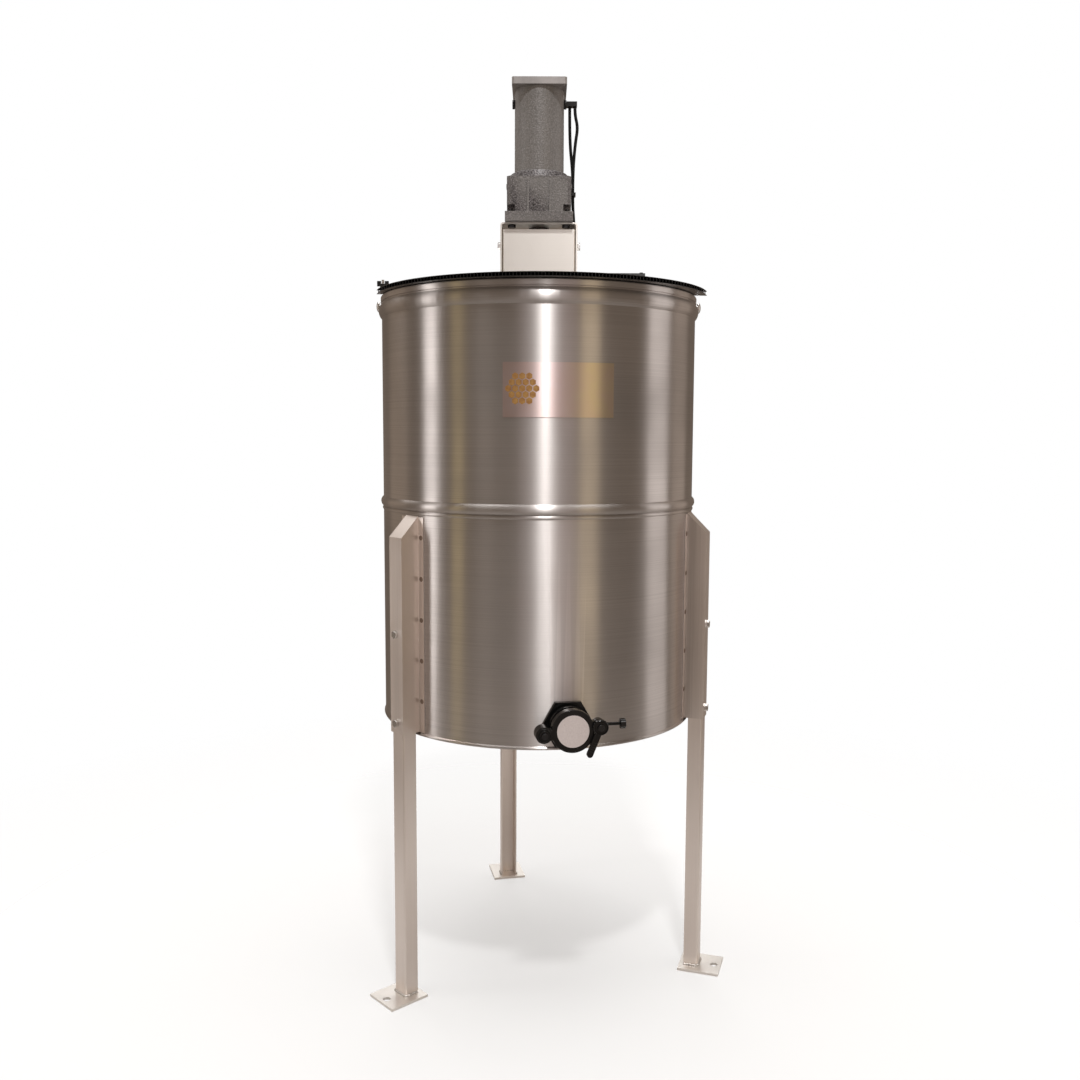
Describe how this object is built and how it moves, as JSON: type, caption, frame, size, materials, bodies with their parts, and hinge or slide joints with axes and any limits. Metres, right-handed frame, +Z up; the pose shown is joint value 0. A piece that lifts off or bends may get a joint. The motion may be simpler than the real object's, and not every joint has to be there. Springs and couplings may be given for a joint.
{
  "type": "honey extractor",
  "caption": "Radial honey extractor: stainless tank on three legs with a frame reel, hinged half lids, top gear motor and bottom gate.",
  "frame": {"origin": "on the floor at the centre of the circle of foot-plate bolt holes, under the tank's axis", "axes": "+Z up along the tank's axis, +X along the crossbar, -Y toward the operator and the gate"},
  "size_m": [0.695, 0.756, 1.7192],
  "materials": {
    "black_plastic": "moulded",
    "board_plastic": "laminate",
    "box_paint": "powder coat",
    "bracket_steel": "brushed",
    "bright_fasteners": "polished",
    "cable_rubber": "satin",
    "cast_aluminium": "sand cast",
    "cast_bearing": "painted casting",
    "gate_plastic": "glass-filled",
    "gear_steel": "oiled",
    "hammered_paint": "hammer finish",
    "label_print": "printed film",
    "label_white": "blank label",
    "lid_plastic": "twin-wall sheet",
    "machined_steel": "turned",
    "reel_steel": "brushed",
    "seal_rubber": "moulded",
    "tank_steel": "brushed"
  },
  "bodies": {
    "tank": {"bottom_ball": "machined_steel", "bottom_cup": "machined_steel", "brush_caps": "black_plastic", "brushes": "black_plastic", "cable_fittings": "black_plastic", "control_board": "board_plastic", "control_box": "box_paint", "control_box_cover": "box_paint", "crossbar": "tank_steel", "foot_plates": "tank_steel", "gate_body": "gate_plastic", "gate_gasket": "seal_rubber", "gate_lock_nut": "gate_plastic", "gearbox_adapter": "cast_aluminium", "gearbox_housing": "hammered_paint", "guard_plate": "bracket_steel", "hex_bolts": "bright_fasteners", "hex_nuts": "bright_fasteners", "hinge_fixed_leaves": "machined_steel", "hinge_pins": "machined_steel", "leg_pockets": "tank_steel", "legs": "tank_steel", "machine_screws": "bright_fasteners", "motor_bracket": "bracket_steel", "motor_end_cap": "cast_aluminium", "motor_housing": "hammered_paint", "motor_leads": "cable_rubber", "motor_magnets": "gear_steel", "rim_bolts": "bright_fasteners", "tank_bottom": "tank_steel", "tank_label": "label_print", "tank_wall": "tank_steel", "top_bearing": "cast_bearing"},
    "reel": {"reel_shaft": "machined_steel", "reel_hubs": "reel_steel", "reel_hoops": "reel_steel", "reel_bed_channels": "reel_steel", "reel_guide_channels": "reel_steel", "reel_comb_ring": "reel_steel", "reel_spokes": "reel_steel", "reel_uprights": "reel_steel", "coupling": "machined_steel", "output_shaft": "machined_steel", "output_wheel": "gear_steel"},
    "countershaft": {"countershaft": "machined_steel", "counter_gears": "gear_steel"},
    "armature": {"armature_shaft": "machined_steel", "armature_core": "gear_steel", "motor_pinion": "gear_steel"},
    "front_lid": {"front_lid": "lid_plastic", "front_lid_leaf": "machined_steel"},
    "wing_nut": {"lid_wing_nut": "black_plastic"},
    "rear_lid": {"rear_lid": "lid_plastic", "rear_lid_leaf": "machined_steel"},
    "speed_knob": {"speed_knob": "black_plastic"},
    "rocker": {"rocker": "black_plastic"},
    "gate_blade": {"gate_blade": "gate_plastic", "gate_label": "label_white"},
    "gate_lever": {"gate_lever": "gate_plastic"},
    "gate_thumb_screw": {"gate_thumb_screw": "gate_plastic"}
  },
  "joints": [
    {"name": "reel_spin", "type": "hinge", "parent": "tank", "child": "reel", "pos_m": [0, 0, 1], "axis": [0, 0, 1], "continuous": true},
    {"name": "countershaft_spin", "type": "hinge", "parent": "tank", "child": "countershaft", "pos_m": [0, 0.03062, 1.48], "axis": [0, 0, 1], "continuous": true},
    {"name": "armature_spin", "type": "hinge", "parent": "tank", "child": "armature", "pos_m": [0, 0, 1.6], "axis": [0, 0, 1], "continuous": true},
    {"name": "front_lid_hinge", "type": "hinge", "parent": "tank", "child": "front_lid", "pos_m": [0, -0.075, 1.32], "axis": [-1, 0, 0], "range_deg": [0, 91]},
    {"name": "wing_nut_turn", "type": "hinge", "parent": "front_lid", "child": "wing_nut", "pos_m": [-0.292, -0.092, 1.324], "axis": [0, 0, 1], "continuous": true},
    {"name": "rear_lid_hinge", "type": "hinge", "parent": "tank", "child": "rear_lid", "pos_m": [0, 0.075, 1.32], "axis": [1, 0, 0], "range_deg": [0, 91]},
    {"name": "speed_knob_turn", "type": "hinge", "parent": "tank", "child": "speed_knob", "pos_m": [0.122, -0.056, 1.337], "axis": [0, -1, 0], "range_deg": [-280, 0]},
    {"name": "rocker_switch", "type": "hinge", "parent": "tank", "child": "rocker", "pos_m": [0.17, -0.048, 1.337], "axis": [1, 0, 0], "range_deg": [0, 34]},
    {"name": "gate_blade_swing", "type": "hinge", "parent": "tank", "child": "gate_blade", "pos_m": [0.01275, -0.36026, 0.54], "axis": [0.1736, -0.9848, 0], "range_deg": [0, 85]},
    {"name": "gate_lever_turn", "type": "hinge", "parent": "tank", "child": "gate_lever", "pos_m": [0.10967, -0.35129, 0.5515], "axis": [0.1736, -0.9848, 0], "range_deg": [0, 110]},
    {"name": "gate_screw_turn", "type": "hinge", "parent": "tank", "child": "gate_thumb_screw", "pos_m": [0.12902, -0.32859, 0.5515], "axis": [0.9848, 0.1736, 0], "continuous": true}
  ],
  "couplings": [
    {"joint": "countershaft_spin", "follows": "reel_spin", "ratio": -2.5},
    {"joint": "armature_spin", "follows": "reel_spin", "ratio": 6.25}
  ]
}
